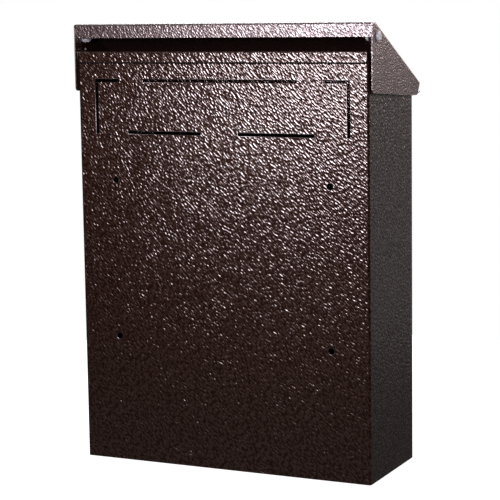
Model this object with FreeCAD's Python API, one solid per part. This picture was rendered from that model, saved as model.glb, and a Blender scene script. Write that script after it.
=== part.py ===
import FreeCAD
import Part
import math
import os

# Wall mounted post box of folded sheet steel. Millimetres, +Z up, the front faces -Y and the wall
# side faces +Y. The origin is at the bottom centre of the closed box. Depths are measured forward
# from the outer face of the back panel and turned into Y by point().

V = FreeCAD.Vector

# Sheet metal
sheet = 1.2                 # casing and lid sheet
bend_in = 1.2               # inside radius of every bend
door_sheet = 1.2            # door sheet

# Casing
case_width = 320.0          # across the side panels, outside
case_depth = 120.0          # outer face of the back to the front face
back_height = 424.4         # top of the back panel's folded hem
hem_height = 10.5           # hem on the outside of the back panel
hem_gap = 1.3               # air inside the hem
hem_inset = 1.4             # hem end to the side panel's outer face
hem_corner = 2.5            # rounded lower corners of the hem
front_lip = 15.0            # side panels turned in at the front

# Wall fixing
hole_dia = 7.5
hole_from_side = 41.2
hole_spacing_z = 162.5
hole_low_z = 131.0

# Knock-out window, marked by slits through the back panel
slit_width = 4.0
window_from_side = 21.1     # side panel's outer face to the upright slits' centre line
window_below_hem = 29.5     # top of the hem to the upper slits' centre line
window_height = 52.5        # upper to lower centre lines
corner_slit = 26.9          # upper corner slits, inward from the upright ones
upper_bridge = 26.5         # metal left between the corner slits and the long upper one
lower_bridge = 40.6         # metal left between the two lower slits
lower_corner = 35.4         # metal left between a lower slit and the upright one

# Lid
lid_gap = 2.7               # side panel to cheek, each side
rear_gap = 13.6             # top of the hem to the lid's rear flange
lid_flange = 13.9           # height of the rear flange
lid_flange_seam = 0.4       # open seam between the rear flange and each cheek
lid_strip = 9.7             # level strip along the rear edge
lid_slope = 27.0            # degrees
lid_overhang = 13.4         # front face to the lid's front corner
lid_front_drop = 11.6       # front flange, square to the slope
lip_length = 6.6            # finger lip at the foot of the front flange
lip_rise = 16.0             # degrees above level
lip_start = 4.0             # up the flange from its foot to where the lip's bend begins
cheek_height = 67.5         # cheeks at the back
cheek_foot = 2.2            # cheeks below the foot of the front flange
cheek_setback = 6.5         # foot of the front flange to the cheeks' lowest point
cheek_level = 15.5          # nearly level stretch behind that point
cheek_level_rise = 0.3
cheek_corner = 4.0          # rounded lower rear corner
side_under_lid = 2.9        # side panel's sloping top edge to the lid's inner face
lid_rest_gap = 0.3          # closed lid over the front's top bend

# Lid pivot
pivot_depth = 12.5
pivot_drop = 13.4           # top of the lid to the pivot
pivot_screw_dia = 5.0
pivot_fit = 0.05
pivot_head_dia = 9.5
pivot_head_height = 3.0
pivot_head_rim = 1.4        # upright part of the head's side
pivot_head_crown_dia = 6.6  # flat top of the head
pivot_play = 0.15
pivot_spacer_dia = 10.0
pivot_washer_dia = 10.0
pivot_washer_thick = 1.0
pivot_nut_af = 8.0
pivot_nut_thick = 4.7
pivot_thread_out = 1.5
drive_length = 4.6          # cross recess in the screw's head
drive_width = 1.0
drive_depth = 1.8
lid_open = 95.0             # degrees
ear_clear = 0.5             # side panel's ear to the inner faces of the turning lid
ear_rear_start = 190.0      # degrees round the pivot from the front, where the ear's rear arc begins
ear_rear_middle = 235.0     # a point along that arc
swing_clear = 0.7           # relief round the path of the lid's rear corner
stop_clear = 0.4            # open lid's rear flange to the ear's neck

# Front
head_height = 93.4          # fixed strip over the door
sill_height = 30.0
door_gap = 1.5
door_flange = 10.0
stop_gap = 0.3              # door's flanges to the stop lips
stop_lip = 8.0
stop_lip_start = 24.0       # hinge line to the near end of the stop lips
stop_lip_end = 6.0          # jamb to their far end
hinge_inset_x = 5.0
hinge_inset_depth = 4.9
pin_dia = 4.0
pin_fit = 0.05
pin_collar_dia = 5.0
pin_collar = 1.5
pin_reach = 3.0             # pin past the casing's sheet

# Cam lock
lock_from_edge = 24.0
lock_body_dia = 18.6
lock_hole_fit = 0.2
lock_flat = 16.4            # across the flats that stop it turning
lock_bezel_dia = 22.0
lock_bezel_height = 2.2
lock_bezel_edge = 0.8
lock_body_length = 16.0     # behind the door's face
lock_nut_af = 24.0
lock_nut_thick = 4.0
plug_dia = 12.0
plug_fit = 0.05
plug_inset = 0.5
key_slot_width = 2.0
key_slot_height = 8.0
key_slot_depth = 6.0
tang_square = 7.0
cam_gap = 0.3
cam_thick = 2.0
cam_width = 14.0
cam_reach = 34.0
cam_screw_dia = 4.0
cam_screw_af = 7.8
cam_screw_head = 2.6
cam_screw_length = 8.0

# Base
base_upstand = 14.0

nut_chamfer = 0.4
past = 1.0                  # how far a cutting solid runs past what it cuts
tiny = 1e-6                 # lengths below this count as none

# Worked-out sizes
bend_out = bend_in + sheet
half = case_width / 2
hem_stand = hem_gap + sheet
jamb_depth = door_flange + stop_gap + sheet
opening_half = half - front_lip
flange_z = back_height + rear_gap
lid_top_z = flange_z + lid_flange
pivot_z = lid_top_z - pivot_drop
lid_reach = case_depth + lid_overhang
lid_half = half + lid_gap + sheet
slope = math.radians(lid_slope)
square = (-math.sin(slope), -math.cos(slope))
lid_front_z = lid_top_z - (lid_reach - lid_strip) * math.tan(slope)
lid_foot = (lid_reach + lid_front_drop * square[0], lid_front_z + lid_front_drop * square[1])
lip_dir = (math.cos(math.radians(lip_rise)), math.sin(math.radians(lip_rise)))
lip_tip = (lid_foot[0] + lip_length * lip_dir[0], lid_foot[1] + lip_length * lip_dir[1])
origin_depth = (max(lip_tip[0] + sheet * lip_dir[1], lid_reach) - hem_stand) / 2


def slope_z(depth, distance):
    """Height of the line that lies the given distance under the lid's outer slope."""
    return lid_top_z - (depth - lid_strip) * math.tan(slope) - distance / math.cos(slope)


head_top_z = slope_z(case_depth - bend_out, sheet + lid_rest_gap + bend_out) + bend_out
head_z = head_top_z - head_height
door_low_z = sill_height + door_gap
door_high_z = head_z - door_gap
hinge_x = -(opening_half - door_gap - hinge_inset_x)
hinge_depth = case_depth - hinge_inset_depth
lock_x = opening_half - door_gap - lock_from_edge
lock_z = (door_low_z + door_high_z) / 2
lock_rear = case_depth - lock_body_length
cam_front = lock_rear - cam_gap
cam_rear = cam_front - cam_thick


def point(x, depth, z):
    return V(x, origin_depth - depth, z)


def rounded(corners, radii, closed=False):
    """Path through the corners in a plane, each turn made an arc of its own radius."""
    count = len(corners)
    places = []
    for i, here in enumerate(corners):
        if not closed and i in (0, count - 1):
            places.append((here,))
            continue
        before = corners[i - 1]
        after = corners[(i + 1) % count]
        radius = radii[i]
        if radius <= 0:
            places.append((here,))
            continue
        u = [before[0] - here[0], before[1] - here[1]]
        v = [after[0] - here[0], after[1] - here[1]]
        lu = math.hypot(*u)
        lv = math.hypot(*v)
        u = [c / lu for c in u]
        v = [c / lv for c in v]
        half_angle = math.acos(max(-1.0, min(1.0, u[0] * v[0] + u[1] * v[1]))) / 2
        cut = radius / math.tan(half_angle)
        middle = [u[0] + v[0], u[1] + v[1]]
        size = math.hypot(*middle)
        reach = radius / math.sin(half_angle) - radius
        crown = (here[0] + middle[0] / size * reach, here[1] + middle[1] / size * reach)
        start = (here[0] + u[0] * cut, here[1] + u[1] * cut)
        end = (here[0] + v[0] * cut, here[1] + v[1] * cut)
        places.append((start, crown, end))
    return places


def edges_of(places, lift, closed=False):
    """Edges along a rounded path; lift turns a plane point into a vector."""
    edges = []
    last = None
    for place in places:
        if last is not None and (lift(*last) - lift(*place[0])).Length > tiny:
            edges.append(Part.makeLine(lift(*last), lift(*place[0])))
        if len(place) == 3:
            edges.append(Part.Arc(*[lift(*p) for p in place]).toShape())
        last = place[-1]
    if closed and (lift(*last) - lift(*places[0][0])).Length > tiny:
        edges.append(Part.makeLine(lift(*last), lift(*places[0][0])))
    return edges


def offset_line(corners, distance):
    """The same open path moved sideways, to the left of its direction."""
    moved = []
    for i, here in enumerate(corners):
        normals = []
        for a, b in ((i - 1, i), (i, i + 1)):
            if a < 0 or b >= len(corners):
                continue
            dx = corners[b][0] - corners[a][0]
            dy = corners[b][1] - corners[a][1]
            size = math.hypot(dx, dy)
            normals.append((-dy / size, dx / size))
        nx = sum(n[0] for n in normals)
        ny = sum(n[1] for n in normals)
        scale = distance * 2 / (nx * nx + ny * ny) if len(normals) == 2 else distance
        moved.append((here[0] + nx * scale, here[1] + ny * scale))
    return moved


def folded(corners, thick, inside, lift):
    """Section of a folded sheet: one face runs through the corners, the other lies to its left."""
    radii_here = [0.0] * len(corners)
    radii_there = [0.0] * len(corners)
    for i in range(1, len(corners) - 1):
        ax = corners[i][0] - corners[i - 1][0]
        ay = corners[i][1] - corners[i - 1][1]
        bx = corners[i + 1][0] - corners[i][0]
        by = corners[i + 1][1] - corners[i][1]
        left_turn = ax * by - ay * bx > 0
        radii_here[i] = inside + thick if left_turn else inside
        radii_there[i] = inside if left_turn else inside + thick
    near = rounded(corners, radii_here)
    far = rounded(offset_line(corners, thick), radii_there)
    edges = edges_of(near, lift)
    edges += edges_of(far, lift)
    edges.append(Part.makeLine(lift(*near[0][0]), lift(*far[0][0])))
    edges.append(Part.makeLine(lift(*near[-1][-1]), lift(*far[-1][-1])))
    return Part.Face(Part.Wire(Part.__sortEdges__(edges)))


def outline(corners, radii, lift):
    return Part.Face(Part.Wire(edges_of(rounded(corners, radii, True), lift, True)))


def across(x):
    """Lift for a section seen from the side, drawn at the given x."""
    return lambda depth, z: point(x, depth, z)


def along_x(face, length):
    return face.extrude(V(length, 0, 0))


def block(x0, x1, depth0, depth1, z0, z1):
    return Part.makeBox(x1 - x0, depth1 - depth0, z1 - z0, point(x0, depth1, z0))


def rod_x(x0, x1, depth, z, dia):
    return Part.makeCylinder(dia / 2, x1 - x0, point(x0, depth, z), V(1, 0, 0))


def rod_back(x, depth_front, length, z, dia):
    """Round bar along the depth, from its front end backwards."""
    return Part.makeCylinder(dia / 2, length, point(x, depth_front, z), V(0, 1, 0))


def rod_up(x, depth, z0, z1, dia):
    return Part.makeCylinder(dia / 2, z1 - z0, point(x, depth, z0), V(0, 0, 1))


def between(a, b):
    return min(a, b), max(a, b)


def joined(shapes):
    return shapes[0].fuse(shapes[1:]).removeSplitter()


def ring(centre, direction, outer, inner, thick):
    disc = Part.makeCylinder(outer / 2, thick, centre, direction)
    return disc.cut(Part.makeCylinder(inner / 2, thick, centre, direction))


def hexagon(centre, direction, across_flats, thick):
    """Hexagonal prism with a corner upright and its outer corners chamfered."""
    sideways = direction.cross(V(0, 0, 1))
    turn = math.pi / 3
    radius = across_flats / 2 / math.cos(turn / 2)
    corners = []
    for k in range(6):
        flat, upright = radius * math.sin(k * turn), radius * math.cos(k * turn)
        corners.append(centre + sideways * flat + V(0, 0, upright))
    prism = Part.Face(Part.makePolygon(corners + corners[:1])).extrude(direction * thick)
    cone = Part.makeCone(radius - nut_chamfer + thick, radius - nut_chamfer, thick, centre, direction)
    return prism.common(cone)


def casing_wrap():
    """Back and side panels from one sheet, with turned-in front lips, hem, slits and ears."""
    jamb = case_depth - jamb_depth
    corners = [(-opening_half, jamb), (-opening_half, case_depth), (-half, case_depth),
               (-half, 0.0), (half, 0.0), (half, case_depth),
               (opening_half, case_depth), (opening_half, jamb)]
    section = folded(corners, sheet, bend_in, lambda x, depth: point(x, depth, 0))
    wrap = section.extrude(V(0, 0, lid_top_z))
    wrap = wrap.common(along_x(side_outline(), case_width + 2 * past))
    above_fold = block(-half + bend_out, half - bend_out, -past, sheet,
                       back_height - hem_height, lid_top_z)
    wrap = joined([wrap.cut(above_fold), hem()])
    wrap = wrap.cut(Part.makeCompound(wall_holes() + slits()))
    for side in (-1, 1):
        wrap = wrap.cut(pivot_hole(side * half))
    return wrap


def pivot_hole(x):
    reach = 2 * bend_out
    return rod_x(x - reach, x + reach, pivot_depth, pivot_z, pivot_screw_dia + 2 * pivot_fit)


def side_outline():
    """What the side panels keep: sloping top, ear round the pivot, relief for the lid's flange."""
    top = sheet + side_under_lid
    ear_upper = (slope_z(pivot_depth, sheet) - pivot_z) * math.cos(slope) - ear_clear
    ear_rear = pivot_depth - sheet - ear_clear
    corner = math.hypot(pivot_depth - bend_out, pivot_drop - bend_out) + bend_out
    relief = corner + swing_clear
    flange_r = math.hypot(pivot_depth, pivot_z - flange_z)
    open_angle = math.pi + math.atan2(pivot_z - flange_z, pivot_depth) + math.radians(lid_open)
    neck = pivot_depth + flange_r * math.cos(open_angle) + stop_clear
    top_foot = (slope_z(pivot_depth, top) - pivot_z) * math.cos(slope)
    crest_angle = math.pi / 2 - slope + math.acos(top_foot / ear_upper)
    upper_end = math.radians(90 + lid_slope + lid_open / 3)
    rear_start = math.radians(ear_rear_start)
    rear_middle = math.radians(ear_rear_middle)
    lift = across(-half - past)

    def on_pivot(radius, angle):
        return lift(pivot_depth + radius * math.cos(angle), pivot_z + radius * math.sin(angle))

    def under_pivot(radius, depth):
        return lift(depth, pivot_z - math.sqrt(radius ** 2 - (depth - pivot_depth) ** 2))

    crest = on_pivot(ear_upper, crest_angle)
    front = case_depth + past
    front_top = lift(front, slope_z(front, top))
    relief_end = under_pivot(relief, sheet)
    below = -past
    edges = [Part.makeLine(lift(-hem_stand, below), lift(front, below)),
             Part.makeLine(lift(front, below), front_top),
             Part.makeLine(front_top, crest),
             Part.Arc(crest, on_pivot(ear_upper, (crest_angle + upper_end) / 2),
                      on_pivot(ear_upper, upper_end)).toShape(),
             Part.makeLine(on_pivot(ear_upper, upper_end), on_pivot(ear_rear, rear_start)),
             Part.Arc(on_pivot(ear_rear, rear_start), on_pivot(ear_rear, rear_middle),
                      under_pivot(ear_rear, neck)).toShape(),
             Part.makeLine(under_pivot(ear_rear, neck), under_pivot(relief, neck)),
             Part.Arc(under_pivot(relief, neck), under_pivot(relief, (neck + sheet) / 2),
                      relief_end).toShape(),
             Part.makeLine(relief_end, lift(-hem_stand, back_height)),
             Part.makeLine(lift(-hem_stand, back_height), lift(-hem_stand, below))]
    return Part.Face(Part.Wire(edges))


def hem():
    """Top of the back panel folded outward and down over itself."""
    wide = half - hem_inset
    low = back_height - hem_height
    crown = back_height - sheet
    line = [(-hem_gap, low), (-hem_gap, crown), (0.0, crown), (0.0, low)]
    fold = folded(line, sheet, hem_gap / 2, across(-wide))
    strip = along_x(fold, 2 * wide)
    for side in (-1, 1):
        inner = side * (wide - hem_corner)
        x0, x1 = between(side * wide, inner)
        corner = block(x0, x1, -hem_stand - past, -hem_gap / 2, low - past, low + hem_corner)
        keep = rod_back(inner, 0, hem_stand + 2 * past, low + hem_corner, 2 * hem_corner)
        strip = strip.cut(corner.cut(keep))
    return strip


def wall_holes():
    length = sheet + hem_stand + 2 * past
    return [rod_back(side * (half - hole_from_side), sheet + past, length, z, hole_dia)
            for side in (-1, 1) for z in (hole_low_z, hole_low_z + hole_spacing_z)]


def slits():
    """Slits that outline the knock-out window, with bridges of metal left between them."""
    w = slit_width / 2
    edge = half - window_from_side
    upper = back_height - window_below_hem
    lower = upper - window_height
    upper_end = edge - corner_slit
    lower_end = edge - lower_corner

    def slit(side, x0, x1, z0, z1):
        a, b = between(side * x0, side * x1)
        return block(a, b, -past, sheet + past, z0 - w, z1 + w)

    cuts = [slit(1, upper_bridge - upper_end, upper_end - upper_bridge, upper, upper)]
    for side in (-1, 1):
        cuts.append(slit(side, edge - w, edge + w, lower, upper))
        cuts.append(slit(side, upper_end, edge, upper, upper))
        cuts.append(slit(side, lower_bridge / 2, lower_end, lower, lower))
    return cuts


def lid_cover():
    """One folded sheet: rear flange, level strip, slope, front flange, finger lip and cheeks."""
    wide = lid_half - sheet
    behind = -hem_stand - past
    upper = [(behind, lid_top_z), (lid_strip, lid_top_z), (lid_reach, lid_front_z),
             at_foot(-lip_length, 0)]
    lid = hood(upper, bend_out, lid_half).cut(hood(offset_line(upper, -sheet), bend_in, wide))
    lid = lid.common(along_x(cheek_outline(), 2 * lid_half + 2 * past))

    seam = wide - lid_flange_seam
    turned = bend_out + past
    lid = lid.cut(block(-seam, seam, -past, turned, flange_z, lid_top_z + past))
    flange = folded([(turned, lid_top_z), (0.0, lid_top_z), (0.0, flange_z)],
                    sheet, bend_in, across(-seam))
    foot_zone = [at_foot(lip_start, past), at_foot(lip_start, -sheet - past),
                 at_foot(-lip_length, -sheet - past), at_foot(-lip_length, past)]
    lid = lid.cut(along_x(outline(foot_zone, [0] * 4, across(-wide)), 2 * wide))
    # The flange's outer face and the lip's upper face are the inside of the last bend.
    lip = folded([lip_tip, lid_foot, at_foot(lip_start, 0)], sheet, bend_in, across(-wide))
    lid = joined([lid, along_x(flange, 2 * seam), along_x(lip, 2 * wide)])
    for side in (-1, 1):
        lid = lid.cut(pivot_hole(side * lid_half))
    return lid


def at_foot(up, out):
    """Point near the foot of the front flange, measured up the flange and out from its face."""
    return (lid_foot[0] - up * square[0] - out * square[1],
            lid_foot[1] - up * square[1] + out * square[0])


def hood(upper, radius, wide):
    """Solid under the lid's upper faces, rounded along both cheeks; its foot is trimmed later."""
    low = lid_foot[1] - lid_front_drop
    corners = upper + [(upper[-1][0], low), (upper[0][0], low)]
    radii = [0, radius, radius, 0, 0, 0]
    solid = along_x(outline(corners, radii, across(-wide)), 2 * wide)
    rim = []
    for edge in solid.Edges:
        box = edge.BoundBox
        if box.XLength < tiny and box.YLength > tiny and box.ZMin > lid_foot[1] - lip_length:
            rim.append(edge)
    return solid.makeFillet(radius, rim)


def cheek_outline():
    """Side view of the lid below its upper faces: the lower edges of the cheeks."""
    rear_z = lid_top_z - cheek_height
    low = lid_foot[1] - cheek_foot
    low_depth = lid_foot[0] - cheek_setback
    front = at_foot(0, lip_length)
    beyond = front[0] + lid_front_drop
    corners = [(0.0, rear_z), (0.0, lid_top_z + past), (beyond, lid_top_z + past),
               (beyond, lid_foot[1]), lid_foot, (low_depth, low),
               (low_depth - cheek_level, low + cheek_level_rise)]
    radii = [cheek_corner, 0, 0, 0, 0, cheek_setback / 4, 0]
    return outline(corners, radii, across(-lid_half - past))


def pivot_parts(side):
    """Screw, spacer, washer and nut of one lid pivot; the screw's head is outside the cheek."""
    inward = V(-side, 0, 0)
    outward = V(side, 0, 0)
    head_face = lid_half + pivot_play
    ear_in = half - sheet
    nut_seat = ear_in - pivot_washer_thick

    def on_axis(x):
        return point(side * x, pivot_depth, pivot_z)

    grip = head_face - nut_seat + pivot_nut_thick + pivot_thread_out
    shank = Part.makeCylinder(pivot_screw_dia / 2, grip, on_axis(head_face), inward)
    crown = on_axis(head_face + pivot_head_height)
    screw = joined([pan_head(on_axis(head_face), outward), shank]).cut(cross_recess(crown, side))

    spacer_thick = lid_half - sheet - half - pivot_play
    bore = pivot_screw_dia + 2 * pivot_fit
    spacer = ring(on_axis(half), outward, pivot_spacer_dia, bore, spacer_thick)
    washer = ring(on_axis(ear_in), inward, pivot_washer_dia, bore, pivot_washer_thick)
    nut = hexagon(on_axis(nut_seat), inward, pivot_nut_af, pivot_nut_thick)
    thread = Part.makeCylinder(pivot_screw_dia / 2, pivot_nut_thick, on_axis(nut_seat), inward)
    return {"screw": screw, "spacer": spacer, "washer": washer, "nut": nut.cut(thread)}


def pan_head(seat, outward):
    """Pan head: an upright rim under a cone to the flat crown."""
    radius = pivot_head_dia / 2
    rim = Part.makeCylinder(radius, pivot_head_rim, seat, outward)
    crown = Part.makeCone(radius, pivot_head_crown_dia / 2, pivot_head_height - pivot_head_rim,
                          seat + outward * pivot_head_rim, outward)
    return joined([rim, crown])


def cross_recess(crown, side):
    """Cross shaped driver recess."""
    arms = []
    for long_y, long_z in ((drive_length, drive_width), (drive_width, drive_length)):
        corner = crown + V(min(0, -side * drive_depth), -long_y / 2, -long_z / 2)
        arms.append(Part.makeBox(drive_depth, long_y, long_z, corner))
    return joined(arms)


def front_head():
    """Fixed upper strip of the front, with a rest for the lid and a stop lip over the door."""
    rear = case_depth - jamb_depth
    corners = [(rear, head_z - stop_lip), (rear, head_z), (case_depth, head_z),
               (case_depth, head_top_z), (rear, head_top_z)]
    strip = along_x(folded(corners, sheet, bend_in, across(-opening_half)), 2 * opening_half)
    strip = strip.cut(lip_ends(head_z - stop_lip - past, head_z))
    ends = [end_flange(side, head_z + bend_out, head_top_z - bend_out) for side in (-1, 1)]
    return joined([strip] + ends).cut(pin_hole(head_z - past, head_z + sheet + past))


def lip_ends(z0, z1):
    """Cuts a stop lip short at the jamb, and at the hinge, where the door's edge swings in."""
    depth0 = case_depth - jamb_depth - past
    depth1 = depth0 + past + bend_out
    near = block(-opening_half - past, hinge_x + stop_lip_start, depth0, depth1, z0, z1)
    far = block(opening_half - stop_lip_end, opening_half + past, depth0, depth1, z0, z1)
    return near.fuse(far)


def end_flange(side, z0, z1):
    """Flange at the end of the strip, spot-welded to the casing's jamb."""
    x0, x1 = between(side * opening_half, side * (opening_half - sheet))
    return block(x0, x1, case_depth - jamb_depth, case_depth - sheet / 2, z0, z1)


def pin_hole(z0, z1):
    return rod_up(hinge_x, hinge_depth, z0, z1, pin_dia + 2 * pin_fit)


def base_pan():
    """Base with upstands inside the casing and the door's sill along its front."""
    rear = case_depth - jamb_depth
    wide = half - sheet
    corners = [(sheet, base_upstand), (sheet, 0.0), (case_depth, 0.0), (case_depth, sill_height),
               (rear, sill_height), (rear, sill_height + stop_lip)]
    pan = along_x(folded(corners, sheet, bend_in, across(-opening_half)), 2 * opening_half)
    pan = pan.cut(lip_ends(sill_height, sill_height + stop_lip + past))
    wings = []
    for side in (-1, 1):
        path = [(side * wide, base_upstand), (side * wide, 0.0),
                (side * (opening_half - past), 0.0)]
        wing = folded(path[::-side], sheet, bend_in, lambda x, z: point(x, rear - sheet, z))
        wings.append(wing.extrude(V(0, rear - 2 * sheet - bend_out, 0)))
    return joined([pan] + wings).cut(pin_hole(sill_height - sheet - past, sill_height + past))


def front_door():
    """Door panel with flanges turned in all round, holed for its pins and the lock."""
    t = door_sheet
    wide = opening_half - door_gap
    rear = case_depth - door_flange
    outer = block(-wide, wide, rear, case_depth, door_low_z, door_high_z)
    inner = block(-wide + t, wide - t, rear - past, case_depth - t,
                  door_low_z + t, door_high_z - t)
    door = rounded_face(outer, case_depth, bend_in + t)
    door = door.cut(rounded_face(inner, case_depth - t, bend_in))
    pins = [rod_up(hinge_x, hinge_depth, z - t - past, z + t + past, pin_dia)
            for z in (door_low_z, door_high_z)]
    hole = flatted_bar(case_depth + past, door_flange, lock_body_dia + 2 * lock_hole_fit,
                       lock_flat + 2 * lock_hole_fit)
    return door.cut(Part.makeCompound(pins + [hole]))


def rounded_face(solid, depth, radius):
    """Rounds the edges round a box's front face."""
    face_y = point(0, depth, 0).y
    rim = [e for e in solid.Edges if abs(e.BoundBox.YMax - face_y) < tiny]
    return solid.makeFillet(radius, rim)


def door_pin(seat, tip, into_door):
    """Collared pin set in the door's flange at the seat; its tip turns in the casing's sheet."""
    pin = rod_up(hinge_x, hinge_depth, *between(seat, tip), pin_dia)
    collar_end = seat + into_door * pin_collar
    collar = rod_up(hinge_x, hinge_depth, *between(seat, collar_end), pin_collar_dia)
    return joined([pin, collar])


def flatted_bar(front, length, dia, flats):
    """Round bar with two flats: the lock's body, and the hole that keeps it from turning."""
    bar = rod_back(lock_x, front, length, lock_z, dia)
    return bar.common(block(lock_x - flats / 2, lock_x + flats / 2, front - length, front,
                            lock_z - dia, lock_z + dia))


def lock_barrel():
    body = flatted_bar(case_depth, lock_body_length, lock_body_dia, lock_flat)
    straight = lock_bezel_height - lock_bezel_edge
    bezel = rod_back(lock_x, case_depth + straight, straight, lock_z, lock_bezel_dia)
    seat = point(lock_x, case_depth + straight, lock_z)
    radius = lock_bezel_dia / 2
    edge = Part.makeCone(radius, radius - lock_bezel_edge, lock_bezel_edge, seat, V(0, -1, 0))
    front = case_depth + lock_bezel_height
    bore = rod_back(lock_x, front + past, front - lock_rear + 2 * past, lock_z,
                    plug_dia + 2 * plug_fit)
    return joined([body, bezel, edge]).cut(bore)


def lock_nut():
    seat = point(lock_x, case_depth - door_sheet, lock_z)
    nut = hexagon(seat, V(0, 1, 0), lock_nut_af, lock_nut_thick)
    return nut.cut(flatted_bar(case_depth, lock_body_length, lock_body_dia, lock_flat))


def tang(rear):
    size = tang_square / 2
    return block(lock_x - size, lock_x + size, rear, lock_rear, lock_z - size, lock_z + size)


def lock_plug():
    """Turning core with a key slot in front and a square tang for the cam behind."""
    front = case_depth + lock_bezel_height - plug_inset
    core = rod_back(lock_x, front, front - lock_rear, lock_z, plug_dia)
    slot = block(lock_x - key_slot_width / 2, lock_x + key_slot_width / 2, front - key_slot_depth,
                 front + past, lock_z - key_slot_height / 2, lock_z + key_slot_height / 2)
    tapped = rod_back(lock_x, cam_rear + cam_screw_length, cam_screw_length, lock_z, cam_screw_dia)
    return joined([core, tang(cam_rear)]).cut(slot).cut(tapped)


def lock_cam():
    """Flat cam with a square hole, hanging down when unlocked."""
    radius = cam_width / 2
    low = lock_z - cam_reach + radius
    plate = [rod_back(lock_x, cam_front, cam_thick, z, cam_width) for z in (lock_z, low)]
    plate.append(block(lock_x - radius, lock_x + radius, cam_rear, cam_front, low, lock_z))
    return joined(plate).cut(tang(cam_rear))


def cam_screw():
    head = hexagon(point(lock_x, cam_rear, lock_z), V(0, 1, 0), cam_screw_af, cam_screw_head)
    shank = rod_back(lock_x, cam_rear + cam_screw_length, cam_screw_length, lock_z, cam_screw_dia)
    return joined([head, shank])


def build():
    parts = {
        "casing_wrap": casing_wrap(),
        "base_pan": base_pan(),
        "front_head": front_head(),
        "lid_cover": lid_cover(),
        "front_door": front_door(),
        "door_pin_upper": door_pin(door_high_z - door_sheet, head_z + sheet + pin_reach, -1),
        "door_pin_lower": door_pin(door_low_z + door_sheet, sill_height - sheet - pin_reach, 1),
        "lock_barrel": lock_barrel(),
        "lock_nut": lock_nut(),
        "lock_plug": lock_plug(),
        "lock_cam": lock_cam(),
        "cam_screw": cam_screw(),
    }
    for side, name in ((-1, "left"), (1, "right")):
        for kind, shape in pivot_parts(side).items():
            parts[f"pivot_{kind}_{name}"] = shape
    return parts


os.makedirs("parts", exist_ok=True)
for name, shape in build().items():
    if len(shape.Solids) == 1:
        shape = shape.Solids[0]
    box = shape.BoundBox
    print(f"{name:20s} {shape.ShapeType:9s} valid {shape.isValid()} volume {shape.Volume:10.1f} "
          f"z {box.ZMin:.1f} to {box.ZMax:.1f}")
    shape.exportStep(f"parts/{name}.step")
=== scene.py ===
import bpy
import bmesh
import math
from mathutils import Matrix, Vector


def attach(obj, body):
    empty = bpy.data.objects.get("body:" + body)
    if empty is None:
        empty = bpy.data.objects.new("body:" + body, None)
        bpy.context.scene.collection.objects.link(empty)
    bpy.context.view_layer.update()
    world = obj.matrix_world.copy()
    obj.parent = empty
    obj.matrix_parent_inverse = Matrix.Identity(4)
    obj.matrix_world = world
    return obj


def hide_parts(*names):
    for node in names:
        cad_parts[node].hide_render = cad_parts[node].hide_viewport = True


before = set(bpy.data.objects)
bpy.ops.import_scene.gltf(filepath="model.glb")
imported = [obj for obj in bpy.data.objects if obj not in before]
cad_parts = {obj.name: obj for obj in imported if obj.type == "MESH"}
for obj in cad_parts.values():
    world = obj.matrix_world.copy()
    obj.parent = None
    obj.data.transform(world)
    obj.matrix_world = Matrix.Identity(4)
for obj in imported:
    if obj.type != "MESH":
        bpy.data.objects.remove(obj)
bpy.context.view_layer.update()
bpy.context.scene.view_settings.view_transform = "Standard"
mm = 0.001
micron = 1e-6
near = 1e-6  # m, points closer than this are one
print("frame loaded:", len(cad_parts), "nodes")


def toLinear(hexColour):  # sRGB hex to the linear colour that Blender wants
    parts = [int(hexColour[i:i + 2], 16) / 255 for i in (1, 3, 5)]
    return [p / 12.92 if p <= 0.04045 else ((p + 0.055) / 1.055) ** 2.4 for p in parts] + [1.0]


def addNode(tree, kind, settings=None, links=None):  # one node, its settings and what feeds it
    node = tree.nodes.new(kind)
    for key, value in (settings or {}).items():
        if isinstance(key, str) and hasattr(node, key):
            setattr(node, key, value)
        else:
            node.inputs[key].default_value = value
    for key, source in (links or {}).items():
        tree.links.new(source, node.inputs[key])
    return node


def newMaterial(name):
    material = bpy.data.materials.new(name)
    material.use_nodes = True
    material.node_tree.nodes.clear()
    return material, material.node_tree


# Camera, at the photograph's place
cameraLook = {
    "place": (-0.7840, 1.6482, 0.4729),
    "right": (-0.9041, -0.4273, -0.01465),
    "up": (0.0461, -0.1315, 0.9904),
    "forward": (0.4251, -0.8945, -0.1386),
    "lens": 128.0,  # mm
    "sensor": 36.0,  # mm
    "clip": (0.05, 50.0),  # m
}


def makeCamera():
    data = bpy.data.cameras.new("camera")
    data.lens = cameraLook["lens"]
    data.sensor_width = cameraLook["sensor"]
    data.clip_start, data.clip_end = cameraLook["clip"]
    camera = bpy.data.objects.new("camera", data)
    bpy.context.scene.collection.objects.link(camera)
    back = -Vector(cameraLook["forward"])
    turn = Matrix((cameraLook["right"], cameraLook["up"], back)).transposed().to_4x4()
    camera.matrix_world = Matrix.Translation(cameraLook["place"]) @ turn
    bpy.context.scene.camera = camera


makeCamera()
print("camera ready")


# Surroundings: white where the camera sees them, and in reflections a room that is dim on the wall side
room = {
    "white": "#ffffff",
    "ambient": "#f2f4ff",
    "ambientLevel": 0.42,
    "base": 0.01,  # level in reflections, straight sideways
    "up": 0.4,  # more of it above
    "front": 0.23,  # more of it on the front's side, and less on the wall side
    "least": 0.006,
}


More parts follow.
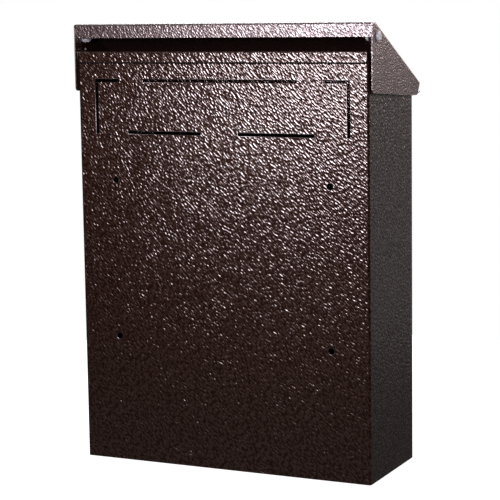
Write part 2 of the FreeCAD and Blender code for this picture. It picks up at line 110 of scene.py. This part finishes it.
def seenRays(tree, glossyShare):  # 1 for camera and transmission rays, glossyShare for glossy ones
    path = addNode(tree, "ShaderNodeLightPath")
    glossy = addNode(tree, "ShaderNodeMath", {"operation": "MULTIPLY"},
                     {0: path.outputs["Is Glossy Ray"], 1: glossyShare})
    both = addNode(tree, "ShaderNodeMath", {"operation": "MAXIMUM"},
                   {0: path.outputs["Is Camera Ray"], 1: glossy.outputs[0]})
    return addNode(tree, "ShaderNodeMath", {"operation": "MAXIMUM"},
                   {0: both.outputs[0], 1: path.outputs["Is Transmission Ray"]}).outputs[0]


def makeRoom():
    world = bpy.data.worlds.new("studio")
    world.use_nodes = True
    bpy.context.scene.world = world
    tree = world.node_tree
    tree.nodes.clear()
    way = addNode(tree, "ShaderNodeTexCoord")
    axes = addNode(tree, "ShaderNodeSeparateXYZ", None, {0: way.outputs["Generated"]})
    above = addNode(tree, "ShaderNodeMath",
                    {"operation": "MULTIPLY_ADD", 1: room["up"], 2: room["base"]},
                    {0: axes.outputs["Z"]})
    across = addNode(tree, "ShaderNodeMath", {"operation": "MULTIPLY_ADD", 1: -room["front"]},
                     {0: axes.outputs["Y"], 2: above.outputs[0]})
    level = addNode(tree, "ShaderNodeClamp", {"Min": room["least"]}, {0: across.outputs[0]})
    plain = addNode(tree, "ShaderNodeBackground",
                    {"Color": toLinear(room["ambient"]), "Strength": room["ambientLevel"]})
    bright = addNode(tree, "ShaderNodeBackground", {"Color": toLinear(room["white"])},
                     {"Strength": seenRays(tree, level.outputs[0])})
    path = addNode(tree, "ShaderNodeLightPath")
    mixed = addNode(tree, "ShaderNodeMixShader", None,
                    {0: path.outputs["Is Diffuse Ray"], 1: bright.outputs[0], 2: plain.outputs[0]})
    addNode(tree, "ShaderNodeOutputWorld", None, {"Surface": mixed.outputs[0]})


makeRoom()


# Floor: a pale disc that keeps a faint shadow of the box and runs out into the white
floorLook = {
    "white": "#ffffff",
    "paint": "#a8a8a6",
    "glow": 0.92,  # how much of its white needs no light, which keeps the shadow faint
    "shine": 0.06,  # level in reflections
    "radius": 0.7,  # m
    "drop": 0.4 * mm,
    "sides": 96,
}


def makeFloor():
    material, tree = newMaterial("studioFloor")
    path = addNode(tree, "ShaderNodeLightPath")
    paint = addNode(tree, "ShaderNodeBsdfDiffuse", {"Color": toLinear(floorLook["paint"])})
    seen = addNode(tree, "ShaderNodeMath", {"operation": "MAXIMUM"},
                   {0: path.outputs["Is Camera Ray"], 1: path.outputs["Is Transmission Ray"]})
    level = addNode(tree, "ShaderNodeMath", {"operation": "MULTIPLY", 1: floorLook["glow"]},
                    {0: seen.outputs[0]})
    glow = addNode(tree, "ShaderNodeEmission", {"Color": toLinear(floorLook["white"])},
                   {"Strength": level.outputs[0]})
    both = addNode(tree, "ShaderNodeAddShader", None, {0: paint.outputs[0], 1: glow.outputs[0]})
    shine = addNode(tree, "ShaderNodeEmission",
                    {"Color": toLinear(floorLook["white"]), "Strength": floorLook["shine"]})
    mixed = addNode(tree, "ShaderNodeMixShader", None,
                    {0: path.outputs["Is Glossy Ray"], 1: both.outputs[0], 2: shine.outputs[0]})
    addNode(tree, "ShaderNodeOutputMaterial", None, {"Surface": mixed.outputs[0]})

    bpy.ops.mesh.primitive_circle_add(vertices=floorLook["sides"], radius=floorLook["radius"],
                                      fill_type="NGON", location=(0, 0, -floorLook["drop"]))
    floor = bpy.context.active_object
    floor.name = "floor"
    floor.data.materials.append(material)


makeFloor()
print("room and floor ready")


# Lamps: a small soft box off the wall side, which the back panel's bumps mirror towards its upper
# corner, and wide ones from the sides and the front. Places and sizes in metres.
lamps = {
    "key": {"place": (0.02, 0.70, 0.545), "aim": (-0.16, 0.066, 0.42), "size": (0.26, 0.22),
            "watts": 4.4, "colour": "#faf0f8"},
    "side": {"place": (-0.85, -0.95, 0.85), "aim": (-0.16, 0, 0.38), "size": (0.5, 0.5),
             "watts": 6.0, "colour": "#ffe4e2"},
    "far": {"place": (1.3, -0.4, 0.8), "aim": (0, 0, 0.25), "size": (0.7, 0.7),
            "watts": 10.0, "colour": "#ffffff"},
    "front": {"place": (0.5, -1.5, 1.2), "aim": (0, 0, 0.22), "size": (1.0, 1.0),
              "watts": 24.0, "colour": "#ffffff"},
}


def makeLamps():
    for name, look in lamps.items():
        data = bpy.data.lights.new(name + "Lamp", "AREA")
        data.shape = "RECTANGLE"
        data.size, data.size_y = look["size"]
        data.energy = look["watts"]
        data.color = toLinear(look["colour"])[:3]
        lamp = bpy.data.objects.new(name + "Lamp", data)
        lamp.visible_camera = False
        bpy.context.scene.collection.objects.link(lamp)
        way = Vector(look["aim"]) - Vector(look["place"])
        lamp.matrix_world = (Matrix.Translation(look["place"])
                             @ way.to_track_quat("-Z", "Y").to_matrix().to_4x4())


makeLamps()
print("lamps ready")


# Hammered enamel: stoved bronze paint whose film draws together into small dimples while it dries.
# The eye gets dark chocolate ground with short glints on the sides of the dimples.
enamelLooks = {
    "casing": {"ground": "#130804", "ridge": "#2b140b", "wormMm": 1.7, "stretch": 2.2, "cellMm": 3.6,
               "cellShare": 0.15, "driftMm": 7.0, "driftBy": 0.7, "dimpleMm": 0.86, "valley": 0.2,
               "crown": 1.0, "ior": 1.55, "tint": "#c88e76", "roughness": 0.34, "coatIor": 2.2,
               "coatRoughness": 0.23},
    # The lid's enamel is a little lighter, lilac-tinted and glossier than the casing's: partly its own
    # coat, partly painted sheen that makes the lid read brighter than the side
    "lid": {"ground": "#1c0e0a", "ridge": "#30180f", "wormMm": 1.4, "stretch": 1.6, "cellMm": 3.6,
            "cellShare": 0.1, "driftMm": 7.0, "driftBy": 0.7, "dimpleMm": 0.6, "valley": 0.4,
            "crown": 1.0, "ior": 2.0, "tint": "#e6c2c6", "roughness": 0.45, "coatIor": 2.9,
            "coatRoughness": 0.34},
    # On a cut edge the film is thick and nearly smooth
    "edge": {"ground": "#150a07", "ridge": "#1c0f0b", "wormMm": 2.4, "stretch": 1.0, "cellMm": 3.6,
             "cellShare": 0.1, "driftMm": 7.0, "driftBy": 0.5, "dimpleMm": 0.05, "valley": 0.9,
             "crown": 1.0, "ior": 1.7, "tint": "#e8c0b0", "roughness": 0.5, "coatIor": 2.5,
             "coatRoughness": 0.3},
    # Painted shade: a matt, nearly black enamel for the tube under the hem, which darkens the seam where
    # the hem's shadow falls
    "seamShade": {"ground": "#070303", "ridge": "#0b0504", "wormMm": 1.0, "stretch": 1.0, "cellMm": 3.0,
               "cellShare": 0.1, "driftMm": 5.0, "driftBy": 0.5, "dimpleMm": 0.05, "valley": 0.0,
               "crown": 0.05, "ior": 1.3, "tint": "#ffffff", "roughness": 0.9, "coatIor": 1.3,
               "coatRoughness": 0.6},
}
enamelGrain = {
    "slant": -45,  # degrees from level, the way that the dimples are drawn out
    "driftDetail": 1.0,
    "wormDetail": 0.3,
    "cellBlend": 0.4,
    "film": (0.42, 0.58),  # the film thickens from valley to crown between these levels of the pattern
}


def hammeredEnamel(name, look):
    grain = enamelGrain
    material, tree = newMaterial(name)
    place = addNode(tree, "ShaderNodeTexCoord")
    turned = addNode(tree, "ShaderNodeMapping",
                     {"vector_type": "TEXTURE", "Rotation": (0, math.radians(grain["slant"]), 0),
                      "Scale": (look["stretch"], 1, 1)},
                     {"Vector": place.outputs["Object"]})
    drift = addNode(tree, "ShaderNodeTexNoise",
                    {"Scale": 1 / (look["driftMm"] * mm), "Detail": grain["driftDetail"]},
                    {"Vector": turned.outputs[0]})
    shift = look["driftBy"] * mm
    drifted = addNode(tree, "ShaderNodeVectorMath", {"operation": "MULTIPLY_ADD", 1: (shift,) * 3},
                      {0: drift.outputs["Color"], 2: turned.outputs[0]})
    cells = addNode(tree, "ShaderNodeTexVoronoi",
                    {"feature": "SMOOTH_F1", "Scale": 1 / (look["cellMm"] * mm),
                     "Smoothness": grain["cellBlend"]},
                    {"Vector": drifted.outputs[0]})
    worms = addNode(tree, "ShaderNodeTexNoise",
                    {"Scale": 1 / (look["wormMm"] * mm), "Detail": grain["wormDetail"]},
                    {"Vector": drifted.outputs[0]})
    height = addNode(tree, "ShaderNodeMath", {"operation": "MULTIPLY_ADD", 1: look["cellShare"]},
                     {0: cells.outputs["Distance"], 2: worms.outputs[0]})
    bump = addNode(tree, "ShaderNodeBump", {"Strength": 1.0, "Distance": look["dimpleMm"] * mm},
                   {"Height": height.outputs[0]})
    thin, thick = grain["film"]
    film = addNode(tree, "ShaderNodeMapRange",
                   {"From Min": thin, "From Max": thick, "To Min": look["valley"], "To Max": look["crown"]},
                   {"Value": worms.outputs[0]})
    colour = addNode(tree, "ShaderNodeMix", {"data_type": "RGBA", "blend_type": "MIX"},
                     {"Factor": film.outputs[0]})
    colour.inputs[6].default_value = toLinear(look["ground"])
    colour.inputs[7].default_value = toLinear(look["ridge"])
    paint = addNode(tree, "ShaderNodeBsdfPrincipled",
                    {"Roughness": look["roughness"], "IOR": look["ior"],
                     "Specular Tint": toLinear(look["tint"]),
                     "Coat IOR": look["coatIor"], "Coat Roughness": look["coatRoughness"]},
                    {"Base Color": colour.outputs[2], "Normal": bump.outputs[0],
                     "Coat Normal": bump.outputs[0], "Coat Weight": film.outputs[0]})
    addNode(tree, "ShaderNodeOutputMaterial", None, {"Surface": paint.outputs[0]})
    return material


# Zinc plate: electroplated steel that has dulled, faintly clouded. Its pale, nearly white colour on a
# mostly diffuse finish is partly painted reflection: it stands in for the white surroundings that the plate
# mirrors.
zincLook = {"light": "#ffffff", "dark": "#e4e8ec", "cloudMm": 3.0, "cloudDetail": 3.0,
            "scratchMm": 0.25, "scratchDetail": 1.0, "scratchMicrons": 12.0, "scratchShare": 0.5,
            "roughness": (0.5, 0.62), "metallic": 0.3}


def zincPlate():
    look = zincLook
    material, tree = newMaterial("zincPlatedSteel")
    place = addNode(tree, "ShaderNodeTexCoord")
    cloud = addNode(tree, "ShaderNodeTexNoise",
                    {"Scale": 1 / (look["cloudMm"] * mm), "Detail": look["cloudDetail"]},
                    {"Vector": place.outputs["Object"]})
    colour = addNode(tree, "ShaderNodeMix", {"data_type": "RGBA"}, {"Factor": cloud.outputs[0]})
    colour.inputs[6].default_value = toLinear(look["dark"])
    colour.inputs[7].default_value = toLinear(look["light"])
    low, high = look["roughness"]
    sheen = addNode(tree, "ShaderNodeMapRange", {"To Min": low, "To Max": high},
                    {"Value": cloud.outputs[0]})
    fine = addNode(tree, "ShaderNodeTexNoise",
                   {"Scale": 1 / (look["scratchMm"] * mm), "Detail": look["scratchDetail"]},
                   {"Vector": place.outputs["Object"]})
    bump = addNode(tree, "ShaderNodeBump",
                   {"Strength": look["scratchShare"], "Distance": look["scratchMicrons"] * micron},
                   {"Height": fine.outputs[0]})
    metal = addNode(tree, "ShaderNodeBsdfPrincipled", {"Metallic": look["metallic"]},
                    {"Base Color": colour.outputs[2], "Roughness": sheen.outputs[0],
                     "Normal": bump.outputs[0]})
    addNode(tree, "ShaderNodeOutputMaterial", None, {"Surface": metal.outputs[0]})
    return material


# Chromed die-cast zinc: the eye gets a mirror with the faint swirl of the polishing wheel
chromeLook = {"tint": "#dcdfe2", "swirlMm": 0.6, "swirlDetail": 2.0, "swirlBend": 1.0,
              "roughness": (0.08, 0.16)}


def chromedZinc():
    look = chromeLook
    material, tree = newMaterial("chromedZinc")
    place = addNode(tree, "ShaderNodeTexCoord")
    swirl = addNode(tree, "ShaderNodeTexNoise",
                    {"Scale": 1 / (look["swirlMm"] * mm), "Detail": look["swirlDetail"],
                     "Distortion": look["swirlBend"]},
                    {"Vector": place.outputs["Object"]})
    low, high = look["roughness"]
    polish = addNode(tree, "ShaderNodeMapRange", {"To Min": low, "To Max": high},
                     {"Value": swirl.outputs[0]})
    metal = addNode(tree, "ShaderNodeBsdfPrincipled",
                    {"Metallic": 1.0, "Base Color": toLinear(look["tint"])},
                    {"Roughness": polish.outputs[0]})
    addNode(tree, "ShaderNodeOutputMaterial", None, {"Surface": metal.outputs[0]})
    return material


finishes = {"casing": hammeredEnamel("hammeredEnamelCasing", enamelLooks["casing"]),
            "lid": hammeredEnamel("hammeredEnamelLid", enamelLooks["lid"]),
            "edge": hammeredEnamel("hammeredEnamelEdge", enamelLooks["edge"]),
            "seamShade": hammeredEnamel("paintedSeamShade", enamelLooks["seamShade"]),
            "zinc": zincPlate(), "chrome": chromedZinc()}
nodeFinish = {"casing_wrap": "casing", "base_pan": "casing", "front_head": "casing",
              "front_door": "casing", "lid_cover": "lid", "lock_barrel": "chrome",
              "lock_plug": "chrome"}  # all other nodes are zinc plated


def dressNodes():
    for name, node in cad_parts.items():
        for slot in node.material_slots:
            slot.material = finishes[nodeFinish.get(name, "zinc")]


dressNodes()
print("finishes on the nodes")


def addPiece(name, data, body, finish):  # links a piece, dresses it and puts it on its body
    data.materials.append(finishes[finish])
    piece = bpy.data.objects.new(name, data)
    bpy.context.scene.collection.objects.link(piece)
    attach(piece, body)
    return piece


# Rims: enamel that has drawn up round on the cut edges of the sheet, where it catches the light.
# Sizes and places in millimetres. A rim lies flush with its sheet unless its settings say otherwise.
backFace = 66.154  # outer face of the back panel, on Y
rimRound = 3  # bevel resolution of a rim
cornerSteps = 6


def makeRims(name, body, paths, radius, closed, finish="edge"):
    data = bpy.data.curves.new(name, "CURVE")
    data.dimensions = "3D"
    data.bevel_depth = radius * mm
    data.bevel_resolution = rimRound
    data.use_fill_caps = not closed
    for path in paths:
        line = data.splines.new("POLY")
        line.points.add(len(path) - 1)
        for point, corner in zip(line.points, path):
            point.co = (*(c * mm for c in corner), 1)
        line.use_cyclic_u = closed
    return addPiece(name, data, body, finish)


def arc(across, up, radius, start, end, steps):  # points of an arc in a plane, angles in degrees
    turns = [math.radians(start + (end - start) * i / steps) for i in range(steps + 1)]
    return [(across + radius * math.cos(t), up + radius * math.sin(t)) for t in turns]


def atDepth(y, paths):  # paths of (x, z) set at one depth
    return [[(x, y, z) for x, z in path] for path in paths]


# Slits round the knock-out window, given by their centre lines and ends
window = {"edge": 138.9, "upper": 394.9, "lower": 342.4, "halfWidth": 2.0, "cornerEnd": 112.0,
          "topEnd": 85.5, "lowStart": 20.3, "lowEnd": 103.5, "rim": 0.7}


def windowRims():
    w = window
    half = w["halfWidth"]

    def bar(x0, x1, z):
        return [(x0, z - half), (x1, z - half), (x1, z + half), (x0, z + half)]

    loops = [bar(-w["topEnd"], w["topEnd"], w["upper"])]
    for side in (-1, 1):
        loops.append([(side * x, z) for x, z in bar(w["lowStart"], w["lowEnd"], w["lower"])])
        corner = [(w["edge"] + half, w["lower"] - half), (w["edge"] + half, w["upper"] + half),
                  (w["cornerEnd"], w["upper"] + half), (w["cornerEnd"], w["upper"] - half),
                  (w["edge"] - half, w["upper"] - half), (w["edge"] - half, w["lower"] - half)]
        loops.append([(side * x, z) for x, z in corner])
    makeRims("windowSlitRims", "casing", atDepth(backFace - w["rim"], loops), w["rim"], True)


# Wall holes, with the two heights at which they stand
wallHoles = {"x": 118.8, "z": (131.0, 293.5), "radius": 3.75, "rim": 0.6, "steps": 40}


def holeRims():
    h = wallHoles
    loops = [arc(side * h["x"], z, h["radius"], 0, 360, h["steps"])[:-1]
             for side in (-1, 1) for z in h["z"]]
    makeRims("wallHoleRims", "casing", atDepth(backFace - h["rim"], loops), h["rim"], True)


# Hem along the back's top: its cut edge, and a matt dark tube where it meets the panel, which is painted
# shadow of the hem
hem = {"half": 158.6, "top": 423.4, "low": 414.0, "corner": 2.5, "behind": 1.6, "rim": 0.9}
seamShade = {"half": 157.0, "height": 412.9, "sunk": 0.25, "rim": 0.95}


def hemRims():
    r = hem["corner"]
    half = [(hem["half"], hem["top"])] + arc(hem["half"] - r, hem["low"] + r, r, 0, -90, cornerSteps)
    path = half + [(-x, z) for x, z in reversed(half)]
    makeRims("hemRim", "casing", atDepth(backFace + hem["behind"], [path]), hem["rim"], False)
    # Painted shadow: a dark tube sunk just under the hem's low edge
    line = [(side * seamShade["half"], seamShade["height"]) for side in (-1, 1)]
    makeRims("hemSeamShade", "casing", atDepth(backFace - seamShade["sunk"], [line]), seamShade["rim"], False,
             "seamShade")


# Low edge of the lid's rear flange
lidFlange = {"half": 156.5, "low": 438.1, "inside": 0.6, "rim": 0.6}


def flangeRim():
    f = lidFlange
    line = [(side * f["half"], f["low"]) for side in (-1, 1)]
    makeRims("lidFlangeRim", "lid", atDepth(backFace - f["inside"], [line]), f["rim"], False)


# Cheeks of the lid: their rear and low edges, with the low one's far end as depth from the back face
# and height
cheek = {"x": 163.3, "rim": 0.6, "top": 447.0, "rearLow": 384.4, "corner": 4.0, "proud": 0.1,
         "low": (108.5, 384.7)}


def cheekRims():
    c = cheek
    inside = c["rim"] - c["proud"]
    corner = arc(backFace - c["corner"], c["rearLow"] + c["corner"], c["corner"] - inside, 0, -90,
                 cornerSteps)
    line = [(backFace - inside, c["top"])] + corner + [(backFace - c["low"][0], c["low"][1] + inside)]
    makeRims("lidCheekRims", "lid", [[(side * c["x"], y, z) for y, z in line] for side in (-1, 1)],
             c["rim"], False)


# Drops of enamel that hung from the hem's low edge when it set, as places (x, z)
paintDrop = {"places": ((-67.1, 413.0), (-118.2, 412.8)), "size": (2.2, 1.6, 2.4), "behind": 1.8,
             "segments": 20, "rings": 14}


def paintDrops():
    look = paintDrop
    form = bmesh.new()
    for x, z in look["places"]:
        drop = bmesh.ops.create_uvsphere(form, u_segments=look["segments"], v_segments=look["rings"],
                                         radius=mm / 2)["verts"]
        bmesh.ops.scale(form, vec=look["size"], verts=drop)
        bmesh.ops.translate(form, vec=(x * mm, (backFace + look["behind"]) * mm, z * mm), verts=drop)
    for face in form.faces:
        face.smooth = True
    data = bpy.data.meshes.new("hemPaintDrops")
    form.to_mesh(data)
    form.free()
    addPiece("hemPaintDrops", data, "casing", "edge")


windowRims()
holeRims()
hemRims()
flangeRim()
cheekRims()
paintDrops()
print("rims on the cut edges")


# Pivot screws: zinc-plated pan heads with a cross recess, and a thread showing past the nut. Sizes and
# places in millimetres, with lengths along the screw from the seat of its head.
pivotScrew = {"seat": 164.05, "y": 53.654, "z": 438.5, "headDia": 9.5, "headHeight": 3.0,
              "headRound": 1.5, "roundSteps": 8, "shankDia": 4.9, "coreDia": 4.2, "coreFrom": 10.6,
              "length": 12.45, "chamfer": 0.3, "pitch": 0.8, "threadStart": 0.4, "threadBite": 0.05,
              "crossLong": 4.6, "crossWide": 1.0, "crossDeep": 1.8, "crossTaper": 0.55, "steps": 48}


def lathe(form, profile, steps):  # turns a profile of (along, radius) in mm round the X axis
    verts = [form.verts.new((a * mm, 0, r * mm)) for a, r in profile]
    edges = [form.edges.new(pair) for pair in zip(verts, verts[1:])]
    bmesh.ops.spin(form, geom=verts + edges, cent=(0, 0, 0), axis=(1, 0, 0), dvec=(0, 0, 0),
                   angle=2 * math.pi, steps=steps, use_merge=True)
    bmesh.ops.remove_doubles(form, verts=form.verts, dist=near)


def threadRidge(form, start, end, root, crest, pitch, steps):  # a helical ridge round the X axis
    turns = (end - start) / pitch
    verts = [form.verts.new((a * mm, 0, r * mm))
             for a, r in ((start - pitch / 3, root), (start, crest), (start + pitch / 3, root))]
    edges = [form.edges.new(pair) for pair in zip(verts, verts[1:] + verts[:1])]
    bmesh.ops.spin(form, geom=verts + edges, cent=(0, 0, 0), axis=(1, 0, 0),
                   dvec=(pitch * mm / steps, 0, 0), angle=2 * math.pi * turns,
                   steps=round(turns * steps))
    bmesh.ops.holes_fill(form, edges=[e for e in form.edges if e.is_boundary], sides=3)


def newObject(name, form):  # turns a bmesh into an object, not yet linked
    data = bpy.data.meshes.new(name)
    form.to_mesh(data)
    form.free()
    return bpy.data.objects.new(name, data)


def crossCutter(look):  # two crossed blades that narrow towards their tips
    form = bmesh.new()
    deep = look["crossDeep"] * mm
    long, wide = look["crossLong"] * mm, look["crossWide"] * mm
    for size in ((2 * deep, long, wide), (2 * deep, wide, long)):
        blade = bmesh.ops.create_cube(form, size=1, matrix=Matrix.Diagonal((*size, 1)))["verts"]
        inner = [v for v in blade if v.co.x < 0]
        bmesh.ops.scale(form, vec=(1, look["crossTaper"], look["crossTaper"]), verts=inner)
    bmesh.ops.translate(form, verts=form.verts, vec=(look["headHeight"] * mm, 0, 0))
    return newObject("crossCutter", form)


def makePivotScrew(side, name):
    look = pivotScrew
    head, core, shank = look["headDia"] / 2, look["coreDia"] / 2, look["shankDia"] / 2
    length, height, coreFrom = look["length"], look["headHeight"], look["coreFrom"]
    chamfer, bite = look["chamfer"], look["threadBite"]
    form = bmesh.new()
    lathe(form, [(-length, 0), (-length, core - chamfer), (chamfer - length, core), (-coreFrom, core),
                 (-coreFrom, shank), (0, shank), (0, head), (height, head), (height, 0)], look["steps"])
    crown = [e for e in form.edges if len(e.link_faces) == 2
             and all(abs(v.co.x - height * mm) < near for v in e.verts)
             and all(abs(math.hypot(v.co.y, v.co.z) - head * mm) < near for v in e.verts)]
    bmesh.ops.bevel(form, geom=crown, offset=look["headRound"] * mm, offset_type="OFFSET",
                    segments=look["roundSteps"], profile=0.5, affect="EDGES", material=-1)
    threadRidge(form, look["threadStart"] - length, -coreFrom, core - bite, shank + bite,
                look["pitch"], look["steps"])
    bmesh.ops.recalc_face_normals(form, faces=form.faces)
    solid, cutter = newObject("pivotScrewSolid", form), crossCutter(look)
    for item in (solid, cutter):
        bpy.context.scene.collection.objects.link(item)
    cut = solid.modifiers.new("cross", "BOOLEAN")
    cut.object, cut.operation, cut.solver, cut.use_self = cutter, "DIFFERENCE", "EXACT", True
    evaluated = solid.evaluated_get(bpy.context.evaluated_depsgraph_get())
    finished = bpy.data.meshes.new_from_object(evaluated)
    for item in (solid, cutter):
        bpy.data.objects.remove(item)
    turn = Matrix.Rotation(0 if side > 0 else math.pi, 4, "Z")
    place = Matrix.Translation((side * look["seat"] * mm, look["y"] * mm, look["z"] * mm))
    finished.transform(place @ turn)
    finished.materials.clear()
    finished.name = name
    screw = addPiece(name, finished, "casing", "zinc")
    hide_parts("pivot_screw_" + ("right" if side > 0 else "left"))


for side, name in ((-1, "pivotPanScrewLeft"), (1, "pivotPanScrewRight")):
    makePivotScrew(side, name)
print("pivot screws ready")
